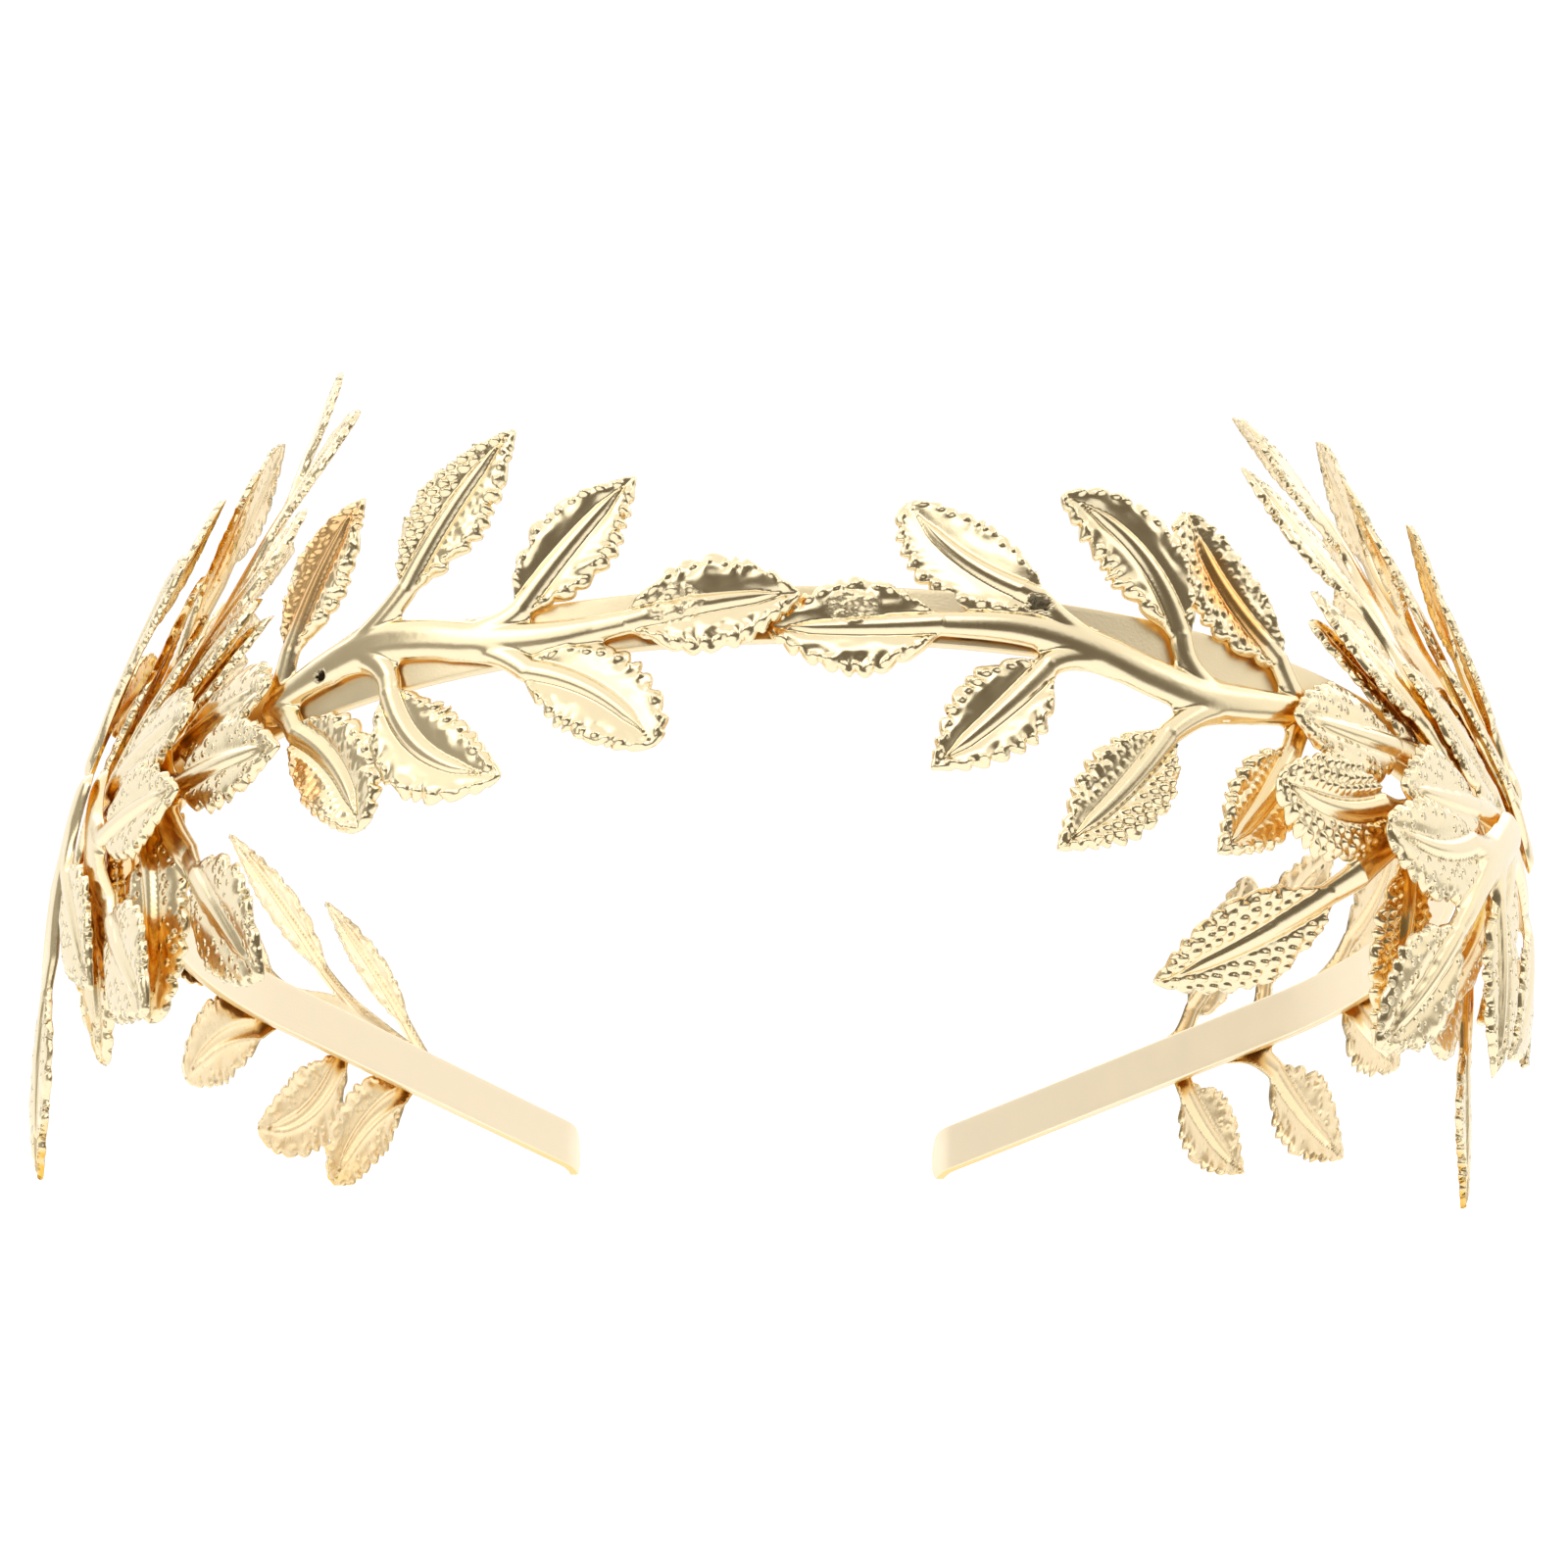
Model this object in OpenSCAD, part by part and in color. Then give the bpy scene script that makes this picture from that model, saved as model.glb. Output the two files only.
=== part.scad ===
// Leaf headband: a flat metal strip bent to a horseshoe, open at the back,
// with stamped leaf sprigs fixed along its outer face.
// Own frame: +Z up as it rests on a table, origin at the bottom centre of its box.
// The front of the head faces -Y, and the wearer's right-hand spray lies at -X.

/* [Band] */
// Width of the flat strip
band_w = 5.7; // [4:0.1:8]
// Thickness of the strip
band_t = 1; // [0.8:0.1:1.2]
// Outer radius over the forehead
r_front = 74.2; // [73:0.1:76]
// Turn of the forehead arc on each side
turn_front = 21.55; // [20:0.05:23]
// Outer radius at the temples and behind the ears
r_side = 66.4; // [65:0.1:68]
// Turn of each side arc
turn_side = 103.86; // [100:0.02:107]
// Length of each straight arm
arm_len = 56.6; // [50:0.1:62]
// Radius of the outward kick at the tips
kick_r = 7; // [5:0.5:9]
// Turn of the outward kick
kick_turn = 27; // [20:1:40]

/* [Stamped leaves] */
// Thickness of the pressed sheet
sheet = 0.6; // [0.5:0.05:0.7]
// Height of the ribs and stems above the back of the sheet
rib = 1.08; // [0.9:0.02:1.15]
// Clearance between the strip and the first layer of sprigs
seat = 0.3; // [0.2:0.05:0.4]
// Distance from one layer of sprigs to the next
layer = 1.4; // [1.3:0.05:1.6]

/* [Hidden] */
deg = 180 / PI;
gold = "#e8cf9a";
pale = "#f0dcb0";

// Plan of the strip's outer face, from the front centre back along one side
arc_1 = r_front * turn_front / deg;
arc_2 = arc_1 + r_side * turn_side / deg;
turn_all = turn_front + turn_side;
x_1 = r_front * sin(turn_front);
y_1 = r_front * (1 - cos(turn_front));
x_2 = x_1 + r_side * (sin(turn_all) - sin(turn_front));
y_2 = y_1 + r_side * (cos(turn_front) - cos(turn_all));
x_3 = x_2 + arm_len * cos(turn_all);
y_3 = y_2 + arm_len * sin(turn_all);
y_mid = y_3 / 2;
// Lap of one stretch of strip inside the next, and how much slimmer each one is there
lap = 0.3;
slip = 0.01;

// Attitude in which the piece settles on a table by itself
rest_pitch = -18.73;
rest_roll = -0.45;
rest_lift = 30.107;
rest_x = 1.169;
rest_y = 0.269;

// One leaf of the die per row, in millimetres from the root of the stem:
// where its stalk leaves the stem (u, v), blade base (u, v), blade tip (u, v),
// bow of the midrib, widest breadth, side (1 upper, -1 lower, 0 end leaf)
LJU = 0;
LJV = 1;
LBU = 2;
LBV = 3;
LTU = 4;
LTV = 5;
LBOW = 6;
LWID = 7;
LSIDE = 8;
leaves = [
    [38.0, -1.0, 41.0, -0.8, 57.5, 0.6, 0.3, 9.8, 0],
    [28.0, 0.0, 30.5, 2.0, 42.0, 14.3, 0.3, 8.8, 1],
    [13.5, 2.2, 18.0, 6.7, 30.0, 21.0, 0.6, 8.8, 1],
    [1.5, 0.8, 3.0, 4.5, 13.0, 18.0, 0.6, 8.0, 1],
    [28.5, -1.4, 31.5, -4.5, 44.0, -14.3, 1.6, 9.2, -1],
    [16.0, 0.8, 16.5, -3.5, 29.5, -15.5, -2.4, 9.2, -1],
    [2.5, -0.8, 4.5, -4.5, 14.8, -18.0, 1.6, 9.0, -1]
];
// Stem of the die: distance from the root, sideways wander, half breadth
stem_path = [[0, -0.6], [7, 1.0], [14, 2.0], [20, 1.2], [26, -0.3], [33, -1.2], [41, -0.8], [46, -0.4]];
stem_half = [[0, 1.2], [6, 1.6], [14, 1.9], [24, 1.9], [33, 1.55], [41, 1.2], [46, 0.6]];
stem_end = 46;
// Stations along a blade, as a share of its length
blade_knots = [0, 0.16, 0.42, 0.74];

// One sprig per row: place of the root along the strip (minus is the left of the
// picture) and up from its middle, heading of the stem, layer, lean of the upper
// part, lean of the lower part, extra curl below, lift of the upper leaves, the
// lower leaves and the end leaf, and how much of the root end is cut away
S = 0;
W = 1;
TH = 2;
LAY = 3;
LU = 4;
LD = 5;
CU = 6;
LA = 7;
LB = 8;
LT = 9;
CUT = 10;
sprigs = [
    [-61.3, 0.4, 0, 0, 0, 0, 0, 2, 7, 4, 0],
    [49.9, -2.7, 178.6, 0, 0, 0, 0, 1.5, 3, 0, 0],
    [-178.3, 1.7, -0.5, 0, 0, 0, 0, 20, 8, 0, 0],
    [167.7, 1.1, 180, 0, 0, 0, 0, -4, 0, 0, 0],
    [-115.2, 3, -3, 1, -26, -5, -1.2, 0, 0, 2, 0],
    [-122.8, 3.4, -4, 3, -24, -6, -1, 0, 0, 0, 0],
    [100.7, -3.1, 181, 1, -26, -5, -1.2, 0, 0, 0, 0],
    [108.7, -3.2, 186, 3, -24, -8, -0.9, 0, 0, 0, 0],
    [-89.6, 0.4, 93, 2, -25, -10, 0, 0, 0, 8, 0],
    [-105, -3.4, 95, 4, -22, -10, 0, 0, 0, 5, 0],
    [-97.7, 4.9, 83, 5, -18, -10, 0, 0, 0, -6, 24],
    [69.6, -3.6, 78, 2.05, -24, -10, 0, 0, 0, -8, 0],
    [92.8, -3.5, 80, 4, -22, -10, 0, 0, 0, 7, 0],
    [95.2, 3.7, 89, 5, -18, -10, 0, 0, 0, 3, 24],
    [-80.8, 3.4, -51, 2, -22, -5, -1.2, 0, 18, 18, 17],
    [-89.2, -1.1, -50, 4, -22, -6, -0.8, 0, 0, 14, 20],
    [-88, -0.8, -104, 5, -22, -8, -0.8, 0, 0, 10, 22],
    [68, -4.4, 224, 2, -22, -5, -1.2, 6, 8, -28, 17],
    [77.3, -5, 228, 4, -22, -8, -0.7, 0, 0, -3, 17],
    [86.5, -0.5, 274, 0, 0, 2, -0.15, 0, 0, 2, 17]
];

function plan(a) =
    a < arc_1 ? [r_front * sin(a / r_front * deg), r_front * (1 - cos(a / r_front * deg)), a / r_front * deg]
    : a < arc_2 ? let (h = turn_front + (a - arc_1) / r_side * deg)
        [x_1 + r_side * (sin(h) - sin(turn_front)), y_1 + r_side * (cos(turn_front) - cos(h)), h]
    : [x_2 + (a - arc_2) * cos(turn_all), y_2 + (a - arc_2) * sin(turn_all), turn_all];

function lean_at(r, w) =
    r[LU] + (r[LD] - r[LU]) * min(1, max(0, (4 - w) / 8)) + r[CU] * min(w + 4, 0);
function lean_sum(r, w) =
    w > 4 ? r[LU] * w + r[LD] - r[LU]
    : w > -4 ? r[LU] * w + (r[LD] - r[LU]) * (4 * w - w * w / 2) / 8
    : -r[LU] - 3 * r[LD] + r[LD] * (w + 4) + r[CU] * pow(w + 4, 2) / 2;
function lean_mean(r, w) = abs(w) < 0.001 ? (r[LU] + r[LD]) / 2 : lean_sum(r, w) / w;
function lift_of(r, u, v, side) =
    side == 1 ? tan(r[LA]) * max(abs(v) - 2, 0)
    : side == -1 ? tan(r[LB]) * max(abs(v) - 2, 0)
    : side == 0 ? tan(r[LT]) * max(u - 38, 0)
    : 0;

// A point of the die (u along the stem, v across, n up from its back) on the headband
function spot(r, u, v, n, side) =
    let (
        base = seat + layer * r[LAY],
        a = (u - r[CUT]) * cos(r[TH]) - v * sin(r[TH]),
        b = (u - r[CUT]) * sin(r[TH]) + v * cos(r[TH]),
        w = r[W] + b,
        m = lean_mean(r, w),
        lam = lean_at(r, w),
        h = w * cos(m),
        o = w * sin(m),
        nn = base + lift_of(r, u, v, side) + n,
        st = r[S] + a / (1 + (base + o) / 68),
        p = plan(abs(st)),
        sg = st < 0 ? -1 : 1,
        out = o + nn * cos(lam)
    )
    [sg * (p[0] + out * sin(p[2])), p[1] - y_mid - out * cos(p[2]), h - nn * sin(lam)];

// Midrib and half breadth of a leaf, t from 0 at its base to 1 at its tip
function leaf_len(f) = norm([f[LTU] - f[LBU], f[LTV] - f[LBV]]);
function leaf_side(f) = [-(f[LTV] - f[LBV]), f[LTU] - f[LBU]] / leaf_len(f);
function leaf_mid(f, t) =
    let (c = [(f[LBU] + f[LTU]) / 2, (f[LBV] + f[LTV]) / 2] + 2 * f[LBOW] * leaf_side(f))
    pow(1 - t, 2) * [f[LBU], f[LBV]] + 2 * t * (1 - t) * c + t * t * [f[LTU], f[LTV]];
function leaf_turn(f, t) =
    let (d = leaf_mid(f, min(1, t + 0.02)) - leaf_mid(f, max(0, t - 0.02)))
    [-d[1], d[0]] / norm(d);
function leaf_half(f, t) =
    f[LSIDE] == -1 ? f[LWID] / 2 * pow(sin(180 * pow(t, 0.95)), 0.62)
    : f[LSIDE] == 0 ? f[LWID] / 2 * pow(sin(180 * pow(t, 0.95)), 0.75)
    : f[LWID] / 2 * pow(sin(180 * pow(t, 0.85)), 0.85);

// Cross-section of a blade: back edge, front edge, rib, front edge, back edge, hollow
function blade_ring(r, f, t) =
    let (
        m = leaf_mid(f, t),
        k = leaf_turn(f, t),
        g = t == 0 ? 0.5 : leaf_half(f, t),
        tall = rib - 0.2 * t
    )
    [
        for (q = [[-1, 0], [-1, sheet], [0, tall], [1, sheet], [1, 0], [0, tall - sheet]])
            spot(r, m[0] + q[0] * g * k[0], m[1] + q[0] * g * k[1], q[1], f[LSIDE])
    ];

function side_faces(n, k) = [
    for (i = [0 : n - 2], j = [0 : k - 1])
        each [[i * k + j, i * k + (j + 1) % k, (i + 1) * k + j],
            [i * k + (j + 1) % k, (i + 1) * k + (j + 1) % k, (i + 1) * k + j]]
];
function near_cap(k) = [for (j = [0 : k - 3]) [k - 1, j + 1, j]];
function far_cap(n, k) = [for (j = [0 : k - 3]) [n * k - 1, (n - 1) * k + j, (n - 1) * k + j + 1]];
function point_cap(n, k) = [for (j = [0 : k - 1]) [(n - 1) * k + j, (n - 1) * k + (j + 1) % k, n * k]];

module blade(r, f) {
    n = len(blade_knots);
    rings = [for (t = blade_knots) each blade_ring(r, f, t)];
    apex = spot(r, f[LTU], f[LTV], sheet, f[LSIDE]);
    polyhedron(concat(rings, [apex]), concat(side_faces(n, 6), near_cap(6), point_cap(n, 6)), convexity = 4);
}

// Rounded rod pressed in the sheet, one ring of points per end
ROD = [[-1, 0], [-0.6, 0.95], [0.6, 0.95], [1, 0]];
function rod_ring(r, p, half, d, side) = [
    for (q = ROD) spot(r, p[0] - q[0] * half * d[1], p[1] + q[0] * half * d[0], q[1] * rib, side)
];
module rod(one, two) {
    hull() polyhedron(concat(one, two), concat(side_faces(2, 4), near_cap(4), far_cap(2, 4)));
}
function stem_ring(r, a) =
    let (d = [2, lookup(a + 1, stem_path) - lookup(a - 1, stem_path)])
    rod_ring(r, [a, lookup(a, stem_path)], lookup(a, stem_half), d / norm(d), 0);

module stem(r) {
    parts = r[CUT] > 0 ? 6 : 5;
    step = (stem_end - r[CUT]) / parts;
    for (i = [0 : parts - 1])
        rod(stem_ring(r, r[CUT] + i * step), stem_ring(r, r[CUT] + (i + 1) * step));
}

module stalk(r, f) {
    p = [f[LJU], f[LJV]];
    m = leaf_mid(f, 0.1);
    d = (m - p) / norm(m - p);
    rod(rod_ring(r, p, 1.25, d, 2), rod_ring(r, m, 0.95, d, f[LSIDE]));
}

// The stamping: a stem, six stalked leaves and the end leaf; a spray keeps the last three
module stamping(r) {
    union() {
        stem(r);
        for (f = leaves)
            if (r[CUT] == 0 || f[LJU] > r[CUT]) {
                blade(r, f);
                if (f[LSIDE] != 0)
                    stalk(r, f);
            }
    }
}

module at_rest() {
    translate([rest_x, rest_y, rest_lift]) rotate([rest_pitch, rest_roll, 0]) children();
}

// One bent stretch of strip about the origin; k tells how deep it slips into its neighbours
module strip_arc(r, turn, k) {
    rotate_extrude(angle = turn, $fn = 96)
        translate([r + k * slip, k * slip])
            square([band_t - 2 * k * slip, band_w - 2 * k * slip]);
}

// Rounded end of the strip, its flat back lapped into the kick
module strip_end(k) {
    d = band_w - 2 * k * slip;
    translate([0, band_t - k * slip, band_w / 2]) rotate([90, 0, 0])
        linear_extrude(band_t - 2 * k * slip) intersection() {
            circle(d = d, $fn = 64);
            translate([-lap, -d]) square([lap + d, 2 * d]);
        }
}

// Flat strip in five stretches: forehead arc, side arcs and straight arms, with
// the tips kicked outwards and rounded
module band() {
    lap_turn = lap / r_side * deg;
    color(pale) at_rest() translate([0, -y_mid, -band_w / 2]) {
        translate([0, r_front, 0]) rotate([0, 0, -90 - turn_front - lap_turn])
            strip_arc(r_front - band_t, 2 * (turn_front + lap_turn), 2);
        for (m = [0, 1]) mirror([m, 0, 0]) {
            translate([x_1 - r_side * sin(turn_front), y_1 + r_side * cos(turn_front), 0])
                rotate([0, 0, -90 + turn_front])
                    strip_arc(r_side - band_t, turn_side + lap_turn, 1);
            translate([x_2, y_2, 0]) rotate([0, 0, turn_all])
                cube([arm_len, band_t, band_w]);
            translate([x_3, y_3, 0]) rotate([0, 0, turn_all]) translate([0, -kick_r, 0]) {
                rotate([0, 0, 90 - kick_turn])
                    strip_arc(kick_r, kick_turn + lap / kick_r * deg, 1);
                rotate([0, 0, -kick_turn]) translate([0, kick_r, 0])
                    strip_end(2);
            }
        }
    }
}

module sprig_front_left() {
    color(gold) at_rest() stamping(sprigs[0]);
}

module sprig_front_right() {
    color(gold) at_rest() stamping(sprigs[1]);
}

module sprig_back_left() {
    color(gold) at_rest() stamping(sprigs[2]);
}

module sprig_back_right() {
    color(gold) at_rest() stamping(sprigs[3]);
}

module sprig_left_inner() {
    color(gold) at_rest() stamping(sprigs[4]);
}

module sprig_left_outer() {
    color(gold) at_rest() stamping(sprigs[5]);
}

module sprig_right_inner() {
    color(gold) at_rest() stamping(sprigs[6]);
}

module sprig_right_outer() {
    color(gold) at_rest() stamping(sprigs[7]);
}

module sprig_left_upright_inner() {
    color(gold) at_rest() stamping(sprigs[8]);
}

module sprig_left_upright_outer() {
    color(gold) at_rest() stamping(sprigs[9]);
}

module spray_left_upright() {
    color(gold) at_rest() stamping(sprigs[10]);
}

module sprig_right_upright_inner() {
    color(gold) at_rest() stamping(sprigs[11]);
}

module sprig_right_upright_outer() {
    color(gold) at_rest() stamping(sprigs[12]);
}

module spray_right_upright() {
    color(gold) at_rest() stamping(sprigs[13]);
}

module spray_left_drop_front() {
    color(gold) at_rest() stamping(sprigs[14]);
}

module spray_left_drop_middle() {
    color(gold) at_rest() stamping(sprigs[15]);
}

module spray_left_drop_rear() {
    color(gold) at_rest() stamping(sprigs[16]);
}

module spray_right_drop_front() {
    color(gold) at_rest() stamping(sprigs[17]);
}

module spray_right_drop_middle() {
    color(gold) at_rest() stamping(sprigs[18]);
}

module spray_right_drop_rear() {
    color(gold) at_rest() stamping(sprigs[19]);
}

band();
sprig_front_left();
sprig_front_right();
sprig_back_left();
sprig_back_right();
sprig_left_inner();
sprig_left_outer();
sprig_right_inner();
sprig_right_outer();
sprig_left_upright_inner();
sprig_left_upright_outer();
spray_left_upright();
sprig_right_upright_inner();
sprig_right_upright_outer();
spray_right_upright();
spray_left_drop_front();
spray_left_drop_middle();
spray_left_drop_rear();
spray_right_drop_front();
spray_right_drop_middle();
spray_right_drop_rear();
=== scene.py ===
"""Leaf headband: the pressed relief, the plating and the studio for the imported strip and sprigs.

Lengths are millimetres, in the ring's own frame or in the plane of the stamping die, until
make_mesh writes them in metres in the CAD frame. Angles in the tables are degrees.
"""
from collections import namedtuple

import bpy
import numpy as np
from mathutils import Matrix, Vector


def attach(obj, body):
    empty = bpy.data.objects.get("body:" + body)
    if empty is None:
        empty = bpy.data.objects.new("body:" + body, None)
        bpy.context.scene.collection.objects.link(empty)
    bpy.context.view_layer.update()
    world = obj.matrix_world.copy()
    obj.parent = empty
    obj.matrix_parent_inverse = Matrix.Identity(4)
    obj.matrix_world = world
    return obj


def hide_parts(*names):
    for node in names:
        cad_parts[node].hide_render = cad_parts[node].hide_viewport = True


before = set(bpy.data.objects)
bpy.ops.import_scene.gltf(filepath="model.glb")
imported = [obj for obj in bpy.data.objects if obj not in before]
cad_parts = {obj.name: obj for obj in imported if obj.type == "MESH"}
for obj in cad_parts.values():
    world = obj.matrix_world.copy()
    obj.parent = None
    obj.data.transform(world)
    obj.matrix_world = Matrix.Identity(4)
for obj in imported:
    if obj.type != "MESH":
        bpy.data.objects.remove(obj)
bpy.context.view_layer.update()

MM = 0.001

# Strip: width, thickness and radius of its edges. Its outer face, seen from above, is two
# arcs and a straight arm on each side, then a kick outwards at the tip. What stands off it is
# shortened along it as on a circle of the mean radius.
BAND_W, BAND_T, EDGE_R = 5.7, 1.0, 0.22
BAND_HALF = BAND_W / 2
R_FRONT, TURN_FRONT = 74.2, np.radians(21.55)
R_SIDE, TURN_SIDE = 66.4, np.radians(103.86)
ARM = 56.6
KICK_R, KICK_TURN = 7.0, np.radians(27)
ARC_1 = R_FRONT * TURN_FRONT
ARC_2 = ARC_1 + R_SIDE * TURN_SIDE
TURN_ALL = TURN_FRONT + TURN_SIDE
X1, Y1 = R_FRONT * np.sin(TURN_FRONT), R_FRONT * (1 - np.cos(TURN_FRONT))
X2 = X1 + R_SIDE * (np.sin(TURN_ALL) - np.sin(TURN_FRONT))
Y2 = Y1 + R_SIDE * (np.cos(TURN_FRONT) - np.cos(TURN_ALL))
X3, Y3 = X2 + ARM * np.cos(TURN_ALL), Y2 + ARM * np.sin(TURN_ALL)
Y_MID = Y3 / 2
MEAN_R = 68

# Stampings: gap to the strip, and from one layer to the next
SEAT, LAYER = 0.3, 1.4
# From the ring's own frame to the table, as the headband settles
REST_PITCH, REST_ROLL = np.radians(-18.73), np.radians(-0.45)
REST_SHIFT = np.array([1.169, 0.269, 30.107])

# The die: u runs along the stem, v across it. A leaf has the joint where its stalk leaves the
# stem, the base and the tip of its blade, the sideways bow of its midrib, its breadth, and
# its side of the stem (1 upper, -1 lower, 0 at the end).
Leaf = namedtuple("Leaf", "joint base tip bow breadth side")
LEAVES = {
    "end":    Leaf((38.0, -1.0), (41.0, -0.8), (57.5, 0.6), 0.3, 9.8, 0),
    "upper1": Leaf((28.0, 0.0), (30.5, 2.0), (42.0, 14.3), 0.3, 8.8, 1),
    "upper2": Leaf((13.5, 2.2), (18.0, 6.7), (30.0, 21.0), 0.6, 8.8, 1),
    "upper3": Leaf((1.5, 0.8), (3.0, 4.5), (13.0, 18.0), 0.6, 8.0, 1),
    "lower1": Leaf((28.5, -1.4), (31.5, -4.5), (44.0, -14.3), 1.6, 9.2, -1),
    "lower2": Leaf((16.0, 0.8), (16.5, -3.5), (29.5, -15.5), -2.4, 9.2, -1),
    "lower3": Leaf((2.5, -0.8), (4.5, -4.5), (14.8, -18.0), 1.6, 9.0, -1),
}
# The stem's middle and its half breadth, each as (u, value)
STEM = np.array([(0, -0.6), (7, 1.0), (14, 2.0), (20, 1.2),
                 (26, -0.3), (33, -1.2), (41, -0.8), (46, -0.4)])
STEM_HALF = np.array([(0, 1.4), (7, 1.85), (14, 2.1), (20, 2.1),
                      (26, 1.95), (33, 1.65), (41, 1.25), (46, 0.9)])
STEM_END, NECK = 46, 38
# Powers that shape a blade's breadth on each side of the stem, and the two blunter blades
BREADTH_POWERS = {-1: (0.95, 0.62), 0: (0.95, 0.75), 1: (0.85, 0.85)}
BLUNT, BLUNT_POWER = ("lower1", "lower3"), 0.48

# Where each stamping sits: its root along the strip from the front and up from the strip's
# middle, the stem's heading, its layer, the outward lean of what is above and below the
# strip, the further curl below it per mm, the lifts of the upper, lower and end leaves, and
# the length of stem cut off at the root.
Place = namedtuple("Place", "along up heading layer lean_up lean_down curl"
                            " lift_up lift_down lift_end cut")
SPRIGS = {name: Place(*numbers) for name, numbers in {
    # node                      along    up  head layer lean_up, _down, curl lifts: up, down, end, cut
    "sprig_front_left":          (-61.3, 0.4, 0, 0, 0, 0, 0, 2, 7, 4, 0),
    "sprig_front_right":         (49.9, -2.7, 178.6, 0, 0, 0, 0, 1.5, 3, 0, 0),
    "sprig_back_left":           (-178.3, 1.7, -0.5, 0, 0, 0, 0, 20, 8, 0, 0),
    "sprig_back_right":          (167.7, 1.1, 180, 0, 0, 0, 0, -4, 0, 0, 0),
    "sprig_left_inner":          (-115.2, 3, -3, 1, -26, -5, -1.2, 0, 0, 2, 0),
    "sprig_left_outer":          (-122.8, 3.4, -4, 3, -24, -6, -1, 0, 0, 0, 0),
    "sprig_right_inner":         (100.7, -3.1, 181, 1, -26, -5, -1.2, 0, 0, 0, 0),
    "sprig_right_outer":         (108.7, -3.2, 186, 3, -24, -8, -0.9, 0, 0, 0, 0),
    "sprig_left_upright_inner":  (-89.6, 0.4, 93, 2, -25, -10, 0, 0, 0, 8, 0),
    "sprig_left_upright_outer":  (-105, -3.4, 95, 4, -22, -10, 0, 0, 0, 5, 0),
    "spray_left_upright":        (-97.7, 4.9, 83, 5, -18, -10, 0, 0, 0, -6, 24),
    "sprig_right_upright_inner": (69.6, -3.6, 78, 2.05, -24, -10, 0, 0, 0, -8, 0),
    "sprig_right_upright_outer": (92.8, -3.5, 80, 4, -22, -10, 0, 0, 0, 7, 0),
    "spray_right_upright":       (95.2, 3.7, 89, 5, -18, -10, 0, 0, 0, 3, 24),
    "spray_left_drop_front":     (-80.8, 3.4, -51, 2, -22, -5, -1.2, 0, 18, 18, 17),
    "spray_left_drop_middle":    (-89.2, -1.1, -50, 4, -22, -6, -0.8, 0, 0, 14, 20),
    "spray_left_drop_rear":      (-88, -0.8, -104, 5, -22, -8, -0.8, 0, 0, 10, 22),
    "spray_right_drop_front":    (68, -4.4, 224, 2, -22, -5, -1.2, 6, 8, -28, 17),
    "spray_right_drop_middle":   (77.3, -5, 228, 4, -22, -8, -0.7, 0, 0, -3, 17),
    "spray_right_drop_rear":     (86.5, -0.5, 274, 0, 0, 2, -0.15, 0, 0, 2, 17),
}.items()}
# Stampings that the photograph shows large: a finer grid, which carries their pips as relief
FINE = ("sprig_front_left", "sprig_front_right", "spray_right_drop_front")
CELL_FINE, CELL = 0.165, 0.31

# Height of the pips on the half left and right of the midrib, going out from the stem
PIPS = {
    "sprig_front_left": {"all": (0.0, 0.0), "upper2": (0.42, 0.06),
                         "upper3": (0.1, 0.1), "lower3": (0.06, 0.1)},
    "sprig_front_right": {"all": (0.0, 0.0), "upper2": (0.42, 0.1),
                          "upper3": (0.1, 0.14), "lower3": (0.2, 0.1)},
    "sprig_back_left": {"all": (0.02, 0.02)},
    "sprig_back_right": {"all": (0.02, 0.02)},
    "spray_right_drop_front": {"all": (0.36, 0.36)},
    "side": {"all": (0.3, 0.26)},
}
# Spot-weld scars on the end leaf: along and across the blade, radius
WELDS = {"sprig_front_left": (5.0, 0.4, 1.9), "sprig_front_right": (8.4, -1.9, 1.7)}
# Pit left in a stem or stalk: its place in the die (u, v), radius, how dark it is painted
PITS = {"sprig_front_left": (8.0, 0.2, 0.55, 1.0), "sprig_front_right": (31.6, -3.9, 0.8, 0.85)}
# Blades bent at their neck: degrees outwards
BENT = {("sprig_front_right", "lower1"): -12, ("sprig_front_right", "lower3"): -7}
# Painted reflection, as amber patches: along and across the blade, reach along and across, strength
PAINTED_AMBER_REFLECTION = {
    ("sprig_front_left", "upper3"): (9.0, 0.5, 9.0, 3.2, 0.6),
    ("sprig_front_left", "lower3"): (7.0, -3.2, 5.0, 1.8, 0.6),
    ("sprig_front_right", "lower3"): (8.0, 0.3, 6.5, 2.6, 0.8),
}
# Blades, or whole sprigs, pressed less deep than the others
SHALLOW = {("sprig_front_right", "lower1"): 0.45, ("sprig_front_left", "lower1"): 0.7,
           "sprig_back_left": 0.7, "sprig_back_right": 0.7}

# Relief: height of an unpressed blade, of the stem's foot and of the very edge, breadth of
# the rolled edge, and thickness of the sheet
BLADE_H, FOOT_H, EDGE_H, ROLL, SHEET = 0.34, 0.2, 0.14, 0.3, 0.34
# Pitch of the teeth, and pitch and radius of the pips
TOOTH, PIP_PITCH, PIP_R = 1.9, 1.1, 0.43
# Pips stronger than this leave little room for knobs and crumples, and none for rim dots
STRONG_PIPS = 0.15
# Sides of a grid cell: the step to its neighbour there, then the side's two corners
SIDES = ((0, -1, 0, 0, 1, 0), (1, 0, 1, 0, 1, 1), (0, 1, 1, 1, 0, 1), (-1, 0, 0, 1, 0, 0))
# The UV map counts tenths of a metre: this many to a metre, and this many mm in each. A
# pattern's scale is UV_MM over its size in mm.
UV_PER_M, UV_MM = 10, 100


def turn_x(a):
    """Turn by a about x, as a matrix: y goes to y cos a, z sin a."""
    return np.array([[1, 0, 0], [0, np.cos(a), -np.sin(a)], [0, np.sin(a), np.cos(a)]])


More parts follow.
